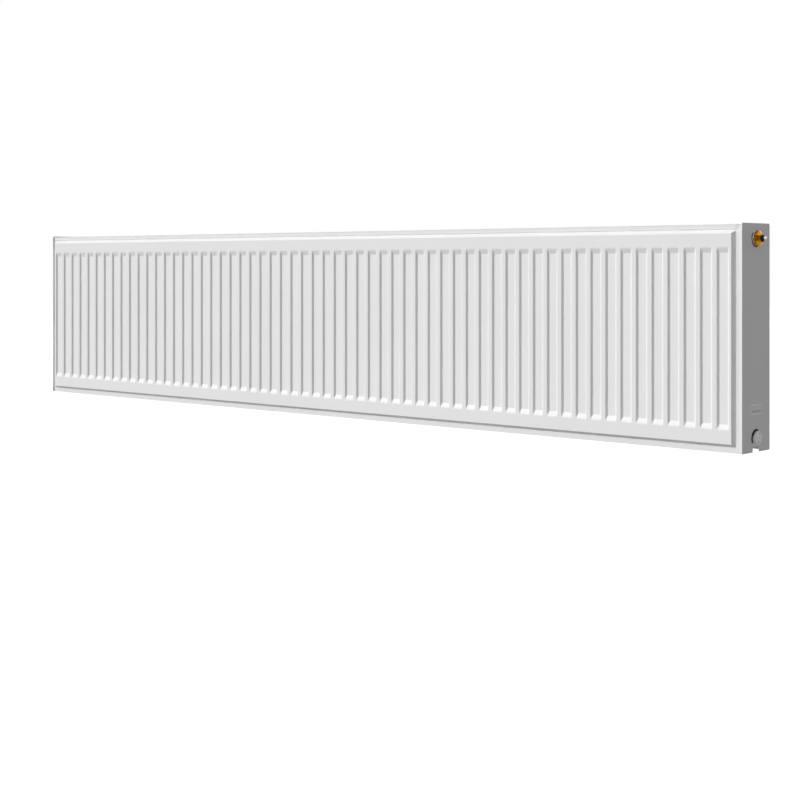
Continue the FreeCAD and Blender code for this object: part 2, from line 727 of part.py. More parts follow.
def make_bleed_seal():
    """The soft tip that the bleed screw presses on its seat in the plug."""
    top = "screw_end - sliding_gap"
    profile = [
        ("bleed_seat", "0"),
        ("bleed_seat", "bleed_seal_nose_radius"),
        ("bleed_seat + bleed_seal_nose_length", "bleed_seal_radius"),
        (top, "bleed_seal_radius"),
        (top, "0"),
    ]
    return keep(turned_part("bleed_tip", profile, HUB_HEIGHTS["top"]), "bleed_seal")


def make_blind_plug():
    """The blind plug of the lower tapping, with a low round head and a small hexagon."""
    inner_end = "(tee_proud - seat_depth - shank_length)"
    face = "(tee_proud + blind_head_height)"
    profile = [
        (inner_end, "0"),
        (inner_end, "shank_radius"),
        ("tee_proud", "shank_radius"),
        ("tee_proud", "blind_head_radius"),
        (f"{face} - blind_edge_rise", "blind_head_radius"),
        (face, "blind_head_radius - blind_edge_run"),
        (face, "0"),
    ]
    height = HUB_HEIGHTS["bottom"]
    turned = turned_part("blind_turned", profile, height)
    hexagon = prism("blind_hexagon", 6, "blind_hex_flats", face, "blind_hex_height", height, 30)
    return keep(fuse("blind", [turned, hexagon]), "blind_plug")


# ---------------------------------------------------------------- the assembly
def middle_plane():
    """A point on the plane half way between the two panels."""
    depth = DIMENSIONS["lug_depth"] + DIMENSIONS["tray_proud"] + DIMENSIONS["cover_depth"] / 2
    return (0, -depth, 0)


for made, label in (
    (make_outer_sheet(), "rear_outer_sheet"),
    (make_inner_sheet(), "rear_inner_sheet"),
    (make_convector(), "rear_convector"),
):
    mirrored(made, label, (0, 1, 0), middle_plane())

for tee_level in HUB_HEIGHTS:
    for tee_end in ENDS:
        make_tee(tee_level, tee_end)

mirrored(make_side_cover(), "left_side_cover", (1, 0, 0))
make_badge()
make_grille()
make_grille_clips()

LUG_STATIONS = {
    "left": f"-({HALF_LENGTH} - lug_end_inset)",
    "middle": "0",
    "right": f"{HALF_LENGTH} - lug_end_inset",
}
for lug_level in HUB_HEIGHTS:
    for lug_station, lug_x in LUG_STATIONS.items():
        make_lug(lug_level, lug_station, lug_x)

make_seal("vent_plug_seal", HUB_HEIGHTS["top"])
make_vent_plug()
make_nozzle()
make_bleed_screw()
make_bleed_seal()
make_seal("blind_plug_seal", HUB_HEIGHTS["bottom"])
make_blind_plug()

doc.recompute()

# ---------------------------------------------------------------- checks and export
for item in doc.Objects:
    if {"Invalid", "Error"} & set(item.State):
        raise RuntimeError(f"{item.Name} failed: {item.State}")
for sub_part in EXPORTED:
    shape = sub_part.Shape
    if shape.isNull() or not shape.isValid():
        raise RuntimeError(f"{sub_part.Label} has no valid shape")

for sub_part in EXPORTED:
    shape = sub_part.Shape
    box = shape.BoundBox
    shape.exportStep(f"parts/{sub_part.Label}.step")
    print(
        f"{sub_part.Label:22s} {len(shape.Solids)} solid(s) {shape.Volume / 1000:9.2f} cm3"
        f"  x {box.XMin:8.2f} {box.XMax:8.2f}  y {box.YMin:8.2f} {box.YMax:8.2f}"
        f"  z {box.ZMin:7.2f} {box.ZMax:7.2f}"
    )
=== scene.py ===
"""Looks of the steel panel radiator: pressed panel skins, top grille, side covers, vent plug and finishes.

Frame, in metres: X runs along the radiator, Y points to the wall, Z points up from the bottom edge.
Lengths below are in millimetres until `mm` turns them into metres.
"""
import math

import bmesh
import bpy
import numpy as np
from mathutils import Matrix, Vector


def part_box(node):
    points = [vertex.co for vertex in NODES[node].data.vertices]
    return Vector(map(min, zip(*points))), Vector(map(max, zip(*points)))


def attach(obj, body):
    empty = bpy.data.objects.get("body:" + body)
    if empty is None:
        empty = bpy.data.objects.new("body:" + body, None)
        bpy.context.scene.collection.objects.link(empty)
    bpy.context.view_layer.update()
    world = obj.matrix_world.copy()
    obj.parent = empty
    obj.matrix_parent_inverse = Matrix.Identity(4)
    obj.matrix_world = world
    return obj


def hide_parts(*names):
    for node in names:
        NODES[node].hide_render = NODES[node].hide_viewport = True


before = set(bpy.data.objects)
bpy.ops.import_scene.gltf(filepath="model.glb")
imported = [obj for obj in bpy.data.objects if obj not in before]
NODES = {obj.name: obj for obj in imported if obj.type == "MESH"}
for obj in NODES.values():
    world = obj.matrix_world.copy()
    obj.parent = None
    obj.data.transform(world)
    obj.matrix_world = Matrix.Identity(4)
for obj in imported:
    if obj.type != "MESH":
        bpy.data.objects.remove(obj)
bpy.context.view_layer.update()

mm = 0.001

# ---------------------------------------------------------------- places taken from the frame
SHEET_LOW, SHEET_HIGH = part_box("front_outer_sheet")
REAR_LOW, REAR_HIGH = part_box("rear_outer_sheet")
COVER_LOW, COVER_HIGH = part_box("right_side_cover")
MIDDLE_Y = (COVER_LOW.y + COVER_HIGH.y) / 2
COVER_FACE = COVER_HIGH.x
BADGE_LOW, BADGE_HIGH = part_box("badge_plate")
GRILLE_LOW, GRILLE_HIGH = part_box("top_grille")


def middle_height(node):
    """Height of a node's middle."""
    low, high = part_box(node)
    return (low.z + high.z) / 2


VENT_Z = middle_height("vent_plug_body")
BLIND_Z = middle_height("blind_plug")
MOUTH = (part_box("vent_plug_seal")[1].x - COVER_FACE) / mm  # boss in front of the cover, in millimetres

# ---------------------------------------------------------------- pressed sheet, in millimetres
HALF_SHEET = SHEET_HIGH.x / mm
SHEET_TALL = SHEET_HIGH.z / mm
TRAY_HEIGHT = 9.2  # tray face in front of the edge flange
TRAY_MARGIN = 10.4  # width of the edge flange
TRAY_RUN = 5.0  # width of the bevel from the flange up to the tray face
TRAY_CORNER = 5.0  # how square two bevels meet in a corner: 2 is a quarter circle
SIDE_MARGIN = 11.6  # the same at the sheet's ends, where the bevel is steeper
SIDE_RUN = 3.8
FLUTES = 59
PITCH = 100 / 3  # three flutes to 100 mm
FLUTE_HALF = 12.0
FLUTE_RUN = 3.5
FLUTE_DEPTH = 3.4
FLUTE_CORNER = 4.0
FLUTE_END = 40.4  # sheet's edge to the end of a flute
FLUTE_END_RUN = 9.4
TRAY_ROUNDING = (0.05, 0.2)  # share of the bevel's run that its foot and its top take up
FLUTE_ROUNDING = (0.22, 0.08)
LAND = 30.0  # sheet's edge to the flat land between the bevel and the flutes
GAUGE = 1.25
LIP = 0.8  # the top edge of the flange leans forward by this
LIP_RUN = 7.6
LIP_POWER = 2.6
STRIP = 0.6  # the top strip of the flange stands in front of the rest
CREASE = 1.1  # depth of the groove between the top strip and the tray's foot
CREASE_RUN = 2.6
CREASE_FLOOR = 0.3  # level strip between the groove's slope and the foot
CREASE_FADE = 3.0  # the strip and the groove end over this length

# Grid lines of the pressed face: across the lip in millimetres, on a bevel's slope in shares of its
# run, and on its rounded edges in shares of the rounding.
LIP_STOPS = (0.0, 1.2, 2.6, 4.2, 6.0)
SLOPE_STOPS = (0.36, 0.64)
ROUND_STOPS = (-1.0, -0.5, 0.0, 0.5, 1.0)


# ---------------------------------------------------------------- mesh helpers
def shell(name, points, faces, material, body):
    """A mesh object of these points, in metres, riding on a body."""
    mesh = bpy.data.meshes.new(name)
    mesh.from_pydata([tuple(p) for p in points], [], faces)
    mesh.update()
    mesh.polygons.foreach_set("use_smooth", [True] * len(mesh.polygons))
    mesh.validate()
    mesh.materials.append(material)
    piece = bpy.data.objects.new(name, mesh)
    bpy.context.scene.collection.objects.link(piece)
    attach(piece, body)
    return piece


def shade_by_angle(piece, degrees=35):
    """Smooth shading with sharp edges where the faces meet at more than this angle."""
    limit = math.radians(degrees)
    work = bmesh.new()
    work.from_mesh(piece.data)
    for face in work.faces:
        face.smooth = True
    for edge in work.edges:
        edge.smooth = len(edge.link_faces) == 2 and edge.calc_face_angle() < limit
    work.to_mesh(piece.data)
    work.free()


def round_edges(piece, width, segments=3, angle=40):
    """Small rounded edges on a piece, by modifier."""
    bevel = piece.modifiers.new("edges", "BEVEL")
    bevel.width = width
    bevel.segments = segments
    bevel.limit_method = "ANGLE"
    bevel.angle_limit = math.radians(angle)
    bevel.use_clamp_overlap = True
    bevel.harden_normals = False
    weighted = piece.modifiers.new("shading", "WEIGHTED_NORMAL")
    weighted.keep_sharp = False
    weighted.weight = 80


# ---------------------------------------------------------------- the pressed sheet's surface
def shoulder(t, rounding):
    """Height share of a bevel at t, which is 0 at its foot and 1 at its top, with rounded edges."""
    foot, top = rounding
    low = (t + foot) ** 2 / (4 * foot)
    high = 1 - (1 + top - t) ** 2 / (4 * top)
    middle = np.where(t < 1 - top, t, high)
    rising = np.where(t < foot, low, middle)
    return np.where(t <= -foot, 0.0, np.where(t >= 1 + top, 1.0, rising))


def corner_blend(a, b, power):
    """Bevel parameter from the parameters of two bevels that meet in a rounded corner."""
    u = np.maximum(1 - a, 0.0)
    v = np.maximum(1 - b, 0.0)
    blended = 1 - (u**power + v**power) ** (1 / power)
    return np.where((a >= 1) & (b >= 1), np.minimum(a, b), blended)


def surface(x, z):
    """How far the pressed sheet stands in front of its flange at (x, z), in millimetres."""
    from_side = HALF_SHEET - np.abs(x)
    from_end = np.minimum(z, SHEET_TALL - z)
    tray = corner_blend(
        (from_side - SIDE_MARGIN) / SIDE_RUN, (from_end - TRAY_MARGIN) / TRAY_RUN, TRAY_CORNER
    )
    raised = shoulder(tray, TRAY_ROUNDING)
    module = np.clip(np.round(x / PITCH), -(FLUTES // 2), FLUTES // 2)
    across = np.abs(x - module * PITCH)
    flute = corner_blend(
        (FLUTE_HALF - across) / FLUTE_RUN, (from_end - FLUTE_END) / FLUTE_END_RUN, FLUTE_CORNER
    )
    sunk = FLUTE_DEPTH * shoulder(flute, FLUTE_ROUNDING)
    from_top = SHEET_TALL - z
    lip = LIP * np.clip(1 - from_top / LIP_RUN, 0, 1) ** LIP_POWER
    sinking = np.clip(1 - (TRAY_MARGIN - CREASE_FLOOR - from_top) / CREASE_RUN, 0, 1)
    strip = STRIP - (STRIP + CREASE) * sinking
    strip *= np.clip((TRAY_MARGIN + CREASE_FADE - from_top) / CREASE_FADE, 0, 1)
    strip *= np.clip((from_side - SIDE_MARGIN + CREASE_FADE) / CREASE_FADE, 0, 1)
    return TRAY_HEIGHT * raised - sunk + (1 - raised) * (lip + strip)


def bevel_stops(start, run, rounding):
    """Distances from an edge at which a bevel that starts there needs a grid line."""
    foot, top = rounding
    stops = [start + s * foot * run for s in ROUND_STOPS]
    stops += [start + run * s for s in SLOPE_STOPS]
    return stops + [start + run + s * top * run for s in ROUND_STOPS]


def top_stops():
    """Distances from the sheet's top or bottom edge of the grid lines in its border."""
    foot = TRAY_MARGIN - CREASE_FLOOR
    start = foot - CREASE_RUN
    groove = [start - 0.2, start + 0.25, foot - 0.15, foot + 0.15]
    return sorted([*LIP_STOPS, *groove, *bevel_stops(TRAY_MARGIN, TRAY_RUN, TRAY_ROUNDING)])


def side_stops():
    """Distances from the sheet's end of the grid lines in its border."""
    stops = [0.0, SIDE_MARGIN - CREASE_FADE]
    return stops + bevel_stops(SIDE_MARGIN, SIDE_RUN, TRAY_ROUNDING)


def skin_lines(fine):
    """Grid lines of a sheet's face: two lists of stations along X, without and with the flutes, and two
    of rows along Z, in the border and at the flutes' ends."""
    sides = side_stops()
    modules = [(k - FLUTES / 2) * PITCH for k in range(FLUTES + 1)]
    ends = [-HALF_SHEET + d for d in sides] + [HALF_SHEET - d for d in sides]
    coarse = sorted(set(round(v, 5) for v in ends + modules))
    if fine:
        steps = bevel_stops(0.0, FLUTE_RUN, FLUTE_ROUNDING)
    else:
        steps = [0.0, FLUTE_RUN]
    flute_lines = []
    for k in range(FLUTES):
        centre = (k - (FLUTES - 1) / 2) * PITCH
        flute_lines.append(centre)
        for step in steps:
            flute_lines.append(centre - FLUTE_HALF + step)
            flute_lines.append(centre + FLUTE_HALF - step)
    all_lines = sorted(set(coarse) | set(round(v, 5) for v in flute_lines))
    flute_rows = [LAND] + bevel_stops(FLUTE_END, FLUTE_END_RUN, FLUTE_ROUNDING)
    return coarse, all_lines, top_stops(), flute_rows


def quad_or_triangles(a, b, c, d, corners):
    """The face a-b-c-d or, where it isn't flat, two triangles on the diagonal that follows the surface."""
    (xa, za, ha), (xb, zb, hb), (xc, zc, hc), (xd, zd, hd) = corners
    if abs(ha + hc - hb - hd) < 1e-4:
        return [(a, b, c, d)]
    centre = float(surface(np.array((xa + xc) / 2), np.array((za + zc) / 2)))
    if abs((ha + hc) / 2 - centre) <= abs((hb + hd) / 2 - centre):
        return [(a, b, c), (a, c, d)]
    return [(a, b, d), (b, c, d)]


def skin(fine, shift):
    """Points (x, z, height) and faces of one face of the sheet. Faces look to the front."""
    coarse, lines, border, flute_rows = skin_lines(fine)
    rows = [("coarse", z) for z in border]
    rows += [("fine", z) for z in flute_rows]
    rows += [("fine", SHEET_TALL - z) for z in reversed(flute_rows)]
    rows += [("coarse", SHEET_TALL - z) for z in reversed(border)]
    points = []
    numbered = []
    for kind, z in rows:
        xs = coarse if kind == "coarse" else lines
        heights = surface(np.array(xs), np.full(len(xs), z))
        numbered.append({x: len(points) + i for i, x in enumerate(xs)})
        points.extend((x, z, h - shift) for x, h in zip(xs, heights))
    faces = []
    for (low_kind, _), (high_kind, _), low, high in zip(rows, rows[1:], numbered, numbered[1:]):
        if low_kind == high_kind:
            xs = coarse if low_kind == "coarse" else lines
            for left, right in zip(xs, xs[1:]):
                ids = (low[left], low[right], high[right], high[left])
                corners = [(points[i][0], points[i][1], points[i][2] + shift) for i in ids]
                faces.extend(quad_or_triangles(*ids, corners))
        else:
            for left, right in zip(coarse, coarse[1:]):
                inside = [x for x in lines if left <= x <= right]
                under = inside if low_kind == "fine" else [left, right]
                over = inside if high_kind == "fine" else [left, right]
                faces.append([low[x] for x in under] + [high[x] for x in reversed(over)])
    outline = [[numbered[0][x] for x in coarse], [numbered[-1][x] for x in reversed(coarse)]]
    right = [row[coarse[-1]] for row in numbered]
    left = [row[coarse[0]] for row in reversed(numbered)]
    return points, faces, (outline[0], right, outline[1], left)


def surface_normals(points):
    """Unit normals (x, front, z) of the pressed surface."""
    step = 0.02
    x = np.array([p[0] for p in points])
    z = np.array([p[1] for p in points])
    slope_x = (surface(x + step, z) - surface(x - step, z)) / (2 * step)
    slope_z = (surface(x, z + step) - surface(x, z - step)) / (2 * step)
    length = np.sqrt(slope_x**2 + slope_z**2 + 1)
    return np.stack([-slope_x / length, 1 / length, -slope_z / length], axis=1)


def make_panel_skin(name, node, front_y, facing, material):
    """A pressed outer sheet with rounded shoulders. facing is -1 for the room side, 1 for the wall side."""
    front, front_faces, front_edge = skin(True, 0.0)
    back, back_faces, back_edge = skin(False, GAUGE)
    offset = len(front)
    points = []
    for x, z, height in front + back:
        points.append((x * mm, front_y + facing * (height - TRAY_HEIGHT) * mm, z * mm))
    faces = [list(f) for f in front_faces]
    faces += [[offset + i for i in reversed(f)] for f in back_faces]
    for near, far in zip(front_edge, back_edge):
        faces.append(list(reversed(near)) + [offset + i for i in far])
    if facing > 0:
        faces = [list(reversed(f)) for f in faces]
    piece = shell(name, points, faces, material, "radiator_body")
    set_sheet_normals(piece, front, len(front_faces), facing)
    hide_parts(node)
    return piece


def set_sheet_normals(piece, front, front_count, facing):
    """Exact normals on the shown face of a pressed sheet, and flat ones on its back and edges."""
    normals = surface_normals(front)
    normals[:, 1] *= facing
    mesh = piece.data
    custom = []
    for polygon in mesh.polygons:
        if polygon.index < front_count:
            custom.extend(tuple(normals[v]) for v in polygon.vertices)
        else:
            custom.extend(tuple(polygon.normal) for _ in polygon.vertices)
    mesh.normals_split_custom_set(custom)


# ---------------------------------------------------------------- turned and moulded pieces
def turned(name, height, stations, material, body, count=96, ring=False, side=1):
    """A piece turned about the tapping's axis at that height. A station is a distance in front of the
    side cover and a radius, in millimetres, or a function of the angle. A ring is joined end to end, and
    side is -1 at the left end."""
    angles = np.arange(count) * 2 * math.pi / count
    points = []
    for along, radius in stations:
        radii = radius(angles) if callable(radius) else np.full(count, radius)
        for angle, r in zip(angles, radii):
            points.append(
                (
                    side * (COVER_FACE + along * mm),
                    MIDDLE_Y + r * math.sin(angle) * mm,
                    height + r * math.cos(angle) * mm,
                )
            )
    faces = []
    rings = len(stations)
    for k in range(rings if ring else rings - 1):
        near = k * count
        far = (k + 1) % rings * count
        for i in range(count):
            j = (i + 1) % count
            faces.append((near + i, near + j, far + j, far + i))
    if not ring:
        faces.append(tuple(reversed(range(count))))
        faces.append(tuple(range((rings - 1) * count, rings * count)))
    piece = shell(name, points, faces, material, body)
    face_outwards(piece)
    shade_by_angle(piece, 30)
    return piece


def face_outwards(piece):
    """Turns every face of a closed mesh to the outside."""
    work = bmesh.new()
    work.from_mesh(piece.data)
    bmesh.ops.recalc_face_normals(work, faces=work.faces)
    work.to_mesh(piece.data)
    work.free()


def polygon_radius(sides, flats, limit, turn=0.0):
    """Radius of a regular prism across its flats, with its corners turned down to a limit."""
    half_step = math.pi / sides

    def radius(angles):
        off = np.mod(angles - turn, 2 * half_step) - half_step
        return np.minimum(flats / 2 / np.cos(off), limit)

    return radius


def knurled(outer, teeth, depth):
    """Radius of a straight knurl."""

    def radius(angles):
        wave = np.abs(np.mod(angles * teeth / (2 * math.pi), 1.0) * 2 - 1)
        return outer - depth * wave

    return radius


def gripped(outer, grips, depth):
    """Radius of a moulded knob with round grip ribs and one deep notch at its bottom, for the outlet."""
    notch_depth, notch_half_angle = 1.1, 0.11

    def radius(angles):
        ribs = (0.5 + 0.5 * np.cos(angles * grips)) ** 2
        notch = np.exp(-(((angles - math.pi) / notch_half_angle) ** 2))
        return outer - depth * (1 - ribs) - notch_depth * notch

    return radius


def thread_stations(start, end, crest, root, pitch):
    """Stations of a pipe thread, as close rings."""
    stations = []
    for k in range(int((end - start) / pitch)):
        foot = start + k * pitch
        stations += [
            (foot, root),
            (foot + pitch * 0.4, crest),
            (foot + pitch * 0.6, crest),
        ]
    stations.append((end, root))
    return stations


# The plugs' shanks and the bore for the bleed screw, in millimetres in front of the side cover.
SHANK_END = -9.5
THREAD_CREST = 9.3
THREAD_ROOT = 8.35
BORE = 3.0
BORE_END = -4.1


def shank_stations():
    """Stations of a plug's threaded shank, from its end up to the boss's mouth."""
    thread = thread_stations(SHANK_END + 0.6, MOUTH - 1.3, THREAD_CREST, THREAD_ROOT, 1.55)
    return [(SHANK_END, 7.6), *thread]


def make_vent_plug():
    """Brass vent plug: pipe thread, knurled rim, six-sided cone and the neck that carries the nozzle."""
    rim = knurled(13.75, 44, 0.55)
    lap = MOUTH - 1.4  # the rim laps over the boss to here
    cone_end = MOUTH + 8.0
    neck_end = 13.15
    stations = shank_stations()
    stations += [(MOUTH, THREAD_CREST), (MOUTH, 13.35), (lap, 13.35), (lap, 13.5)]
    stations += [(lap + 0.1, rim), (MOUTH + 2.3, rim), (MOUTH + 2.5, 13.1)]
    stations += [
        (MOUTH + 2.9, polygon_radius(6, 23.4, 12.9)),
        (MOUTH + 3.5, polygon_radius(6, 22.4, 12.5)),
        (MOUTH + 7.2, polygon_radius(6, 14.6, 8.1)),
        (MOUTH + 7.7, 6.9),
        (cone_end, 6.6),
    ]
    stations += [(cone_end, 4.0), (12.7, 4.0), (12.75, 4.35), (13.1, 4.35), (neck_end, 4.1)]
    stations += [(neck_end, BORE), (BORE_END + 0.2, BORE), (BORE_END, BORE - 0.2)]
    piece = turned("vent_plug", VENT_Z, stations, BRASS, "radiator_body", 264)
    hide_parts("vent_plug_body")
    return piece


def make_nozzle():
    """Black moulded nozzle that turns on the plug's neck."""
    grip = gripped(6.68, 18, 0.3)
    stations = [
        (11.78, 4.08),
        (11.78, 6.0),
        (11.95, 6.3),
        (12.0, grip),
        (13.35, grip),
        (13.6, 6.2),
        (13.78, 5.9),
        (13.78, 5.35),
        (13.62, 5.2),
        (13.62, 4.0),
        (13.78, 3.85),
        (13.78, 3.3),
        (13.6, 3.1),
        (13.25, 3.1),
        (13.25, 4.45),
        (12.6, 4.45),
        (12.55, 4.08),
    ]
    piece = turned("vent_nozzle_knob", VENT_Z, stations, BLACK, "nozzle", 216, True)
    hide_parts("vent_nozzle")


def make_bleed_screw():
    """Bleed screw with a blackened neck and a bright square for the bleed key."""
    neck_end = 16.3
    tip = 21.15
    thread = thread_stations(0.5, 12.9, 2.88, 2.5, 0.8)
    stations = [(0.05, 1.9), (0.2, 2.3), *thread, (13.3, 2.6), (13.6, 2.1), (neck_end, 2.1)]
    for along, flats, limit in (
        (neck_end + 0.2, 4.6, 2.6),
        (neck_end + 0.5, 5.0, 2.95),
        (tip - 0.75, 5.0, 2.95),
        (tip - 0.25, 4.7, 2.7),
        (tip, 4.0, 2.3),
    ):
        stations.append((along, polygon_radius(4, flats, limit, math.pi / 4)))
    stations += [(tip, 0.9), (tip - 0.45, 0.45)]
    piece = turned("bleed_screw_square", VENT_Z, stations, NICKEL, "bleed_screw", 96)
    piece.data.materials.append(BLACKED)
    for polygon in piece.data.polygons:
        polygon.material_index = 1 if polygon.center.x < COVER_FACE + neck_end * mm else 0
    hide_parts("bleed_screw")
    return piece


def make_blind_plug():
    """Painted blind plug: a dished head with a groove and a small hexagon."""
    stations = shank_stations()
    stations += [
        (MOUTH, THREAD_CREST),
        (MOUTH, 11.7),
        (MOUTH + 0.25, 12.15),
        (MOUTH + 0.75, 12.15),
        (MOUTH + 1.15, 11.7),
        (MOUTH + 1.4, 10.9),
        (MOUTH + 1.4, 9.4),
        (MOUTH + 1.0, 9.0),
        (MOUTH + 1.0, 8.2),
        (MOUTH + 1.45, 7.7),
        (MOUTH + 1.45, polygon_radius(6, 12.4, 7.2)),
        (MOUTH + 1.7, polygon_radius(6, 12.0, 6.9)),
        (MOUTH + 3.7, polygon_radius(6, 12.0, 6.9)),
        (MOUTH + 4.4, polygon_radius(6, 11.4, 5.75)),
        (MOUTH + 4.45, 4.3),
        (MOUTH + 3.6, 3.6),
    ]
    piece = turned("blind_plug_cap", BLIND_Z, stations, WHITE, "radiator_body", 144)
    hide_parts("blind_plug")
    return piece


def make_shade_collar(name, height, side, front, sleeve_gap, flange_gap):
    """Black collar on a boss, painted shade for the gap in the side cover's hole: a sleeve, and a flange
    behind the hole of the side cover. Each has a gap, given by two angles: its middle, from straight up
    towards the wall, and half its width. In a gap the collar is tucked into the boss."""
    tucked, taper, least = 12.8, 0.3, 0.03
    inner, outer = 13.35, 16.9
    back, flange_front = -3.0, -1.3

    def reach(full, gap):
        gap_middle, gap_half = gap

        def radius(angles):
            away = np.abs((angles - gap_middle + math.pi) % (2 * math.pi) - math.pi)
            share = np.clip((away - gap_half) / taper, least, 1)
            return tucked + (full - tucked) * share

        return radius

    stations = [
        (back, reach(inner, flange_gap)),
        (front, reach(inner, sleeve_gap)),
        (front, reach(inner + 0.35, sleeve_gap)),
        (front - 0.2, reach(inner + 0.55, sleeve_gap)),
        (flange_front, reach(inner + 0.75, flange_gap)),
        (flange_front, reach(outer - 0.3, flange_gap)),
        (flange_front - 0.3, reach(outer, flange_gap)),
        (back, reach(outer, flange_gap)),
    ]
    # The seals' black rubber, used here as painted shade.
    turned(name, height, stations, RUBBER, "radiator_body", ring=True, side=side)


def make_grommet(name, height, side, body):
    """Pale moulded ring in the edge of a side cover's upper hole."""
    inner, outer = 15.1, 16.45
    back, front = -1.25, -0.05
    stations = [
        (back, inner),
        (back, outer),
        (front - 0.1, outer),
        (front, outer - 0.15),
        (front, inner + 0.3),
        (front - 0.25, inner),
    ]
    turned(name, height, stations, COVER_WHITE, body, ring=True, side=side)


def make_tapping_thread(name, height):
    """The helical pipe thread in an open tapping at the left end."""
    pitch = 1.814
    wall, crest = 9.4, 8.75
    start, end = MOUTH - 1.2, MOUTH - 17.5
    steps = 44  # to a turn
    half_root, half_crest = 0.72, 0.14
    count = int((start - end - pitch) / pitch * steps)
    section = [(-half_root, wall), (-half_crest, crest), (half_crest, crest), (half_root, wall)]
    points = []
    for k in range(count):
        angle = 2 * math.pi * k / steps
        middle = start - 0.9 - pitch * k / steps
        for off, r in section:
            along = COVER_FACE + (middle + off) * mm
            points.append(
                (-along, MIDDLE_Y + r * math.sin(angle) * mm, height + r * math.cos(angle) * mm)
            )
    faces = []
    size = len(section)
    for k in range(count - 1):
        for i in range(size):
            j = (i + 1) % size
            faces.append((k * size + i, k * size + j, (k + 1) * size + j, (k + 1) * size + i))
    faces.append(tuple(range(size)))
    faces.append(tuple(reversed(range((count - 1) * size, count * size))))
    piece = shell(name, points, faces, WHITE, "radiator_body")
    face_outwards(piece)
    shade_by_angle(piece, 50)


def make_badge():
    """Blank badge: a raised plate with chamfered edges and one sunken bar, with no lettering."""
    face_x = BADGE_LOW.x
    thick = (BADGE_HIGH.x - BADGE_LOW.x) / mm
    middle_y = (BADGE_LOW.y + BADGE_HIGH.y) / 2 / mm
    low_z = BADGE_LOW.z / mm
    half = (BADGE_HIGH.y - BADGE_LOW.y) / 2 / mm
    tall = (BADGE_HIGH.z - BADGE_LOW.z) / mm
    chamfer, rim, step, slope = 0.8, 2.2, 0.2, 0.3
    field = rim + slope
    bar_low, bar_high, bar_end = 4.3, 8.1, 3.4
    levels = [
        (half, 0.0, tall, 0.0),
        (half, 0.0, tall, 0.1),
        (half - chamfer, chamfer, tall - chamfer, thick),
        (half - rim, rim, tall - rim, thick),
        (half - field, field, tall - field, thick - step),
        (half - bar_end, bar_low, bar_high, thick - step),
        (half - bar_end - slope, bar_low + slope, bar_high - slope, thick - 2 * step),
    ]
    points = []
    for reach, low, high, raised in levels:
        for y, z in ((-reach, low), (reach, low), (reach, high), (-reach, high)):
            points.append((face_x + raised * mm, (middle_y + y) * mm, (low_z + z) * mm))
    faces = [(3, 2, 1, 0)]
    for k in range(len(levels) - 1):
        for i in range(4):
            j = (i + 1) % 4
            faces.append((k * 4 + i, k * 4 + j, k * 4 + 4 + j, k * 4 + 4 + i))
    last = (len(levels) - 1) * 4
    faces.append((last, last + 1, last + 2, last + 3))
    piece = shell("blank_badge", points, faces, BADGE_LIT_RIM, "right_cover")
    face_outwards(piece)
    shade_by_angle(piece, 10)
    piece.data.materials.append(BADGE_FIELD)
    piece.data.materials.append(BADGE_BAR)
    last_rim_band = 3  # bands of four faces follow each other from the foot inwards
    # The rim and its chamfers take the whiter enamel, a painted highlight; the field and the bar keep their
    # own tones.
    for polygon in piece.data.polygons:
        band = (polygon.index - 1) // 4
        polygon.material_index = min(max(band - last_rim_band, 0), 2)
    round_edges(piece, 0.06 * mm, 2, 12)
    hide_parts("badge_plate")


# ---------------------------------------------------------------- the top grille, in millimetres
GRILLE_HALF_X = GRILLE_HIGH.x / mm
GRILLE_HALF_Y = (GRILLE_HIGH.y - GRILLE_LOW.y) / 2 / mm
GRILLE_TOP = GRILLE_HIGH.z / mm
GRILLE_LIP_END = GRILLE_LOW.z / mm
GRILLE_GAUGE = 0.8
GRILLE_BEND = 2.2
BEND_STEPS = 5
COLUMNS = 41
ROWS = 4
CELL_LONG = 48.0
CELL_WIDE = 18.5
FIELD_HALF_X = COLUMNS * CELL_LONG / 2
FIELD_HALF_Y = ROWS * CELL_WIDE / 2
SLOT_HALF_LONG = 19.0
SLOT_RADIUS = 5.0
SLOT_RIM = [(0.9, 0.0), (0.5, -0.1), (0.15, -0.45), (0.0, -1.0), (0.0, -2.0)]  # growth, height


def slot_ring(half_long, radius, steps=5):
    """Quarter outline of a round-ended slot, from its end on the long axis to its middle at the side."""
    ring = []
    for k in range(steps + 1):
        angle = math.pi / 2 * k / steps
        ring.append((half_long - radius + radius * math.cos(angle), radius * math.sin(angle)))
    ring.append((0.0, radius))
    return ring


def face_maker(work):
    """A function that adds a face to a mesh, from corners about the radiator's middle. Faces that meet
    share their points."""
    made = {}

    def point(x, y, z):
        key = (round(x, 3), round(y, 3), round(z, 3))
        if key not in made:
            made[key] = work.verts.new((x * mm, MIDDLE_Y + y * mm, z * mm))
        return made[key]

    def face(corners, flip=False):
        ordered = reversed(corners) if flip else corners
        work.faces.new([point(*corner) for corner in ordered])

    return face


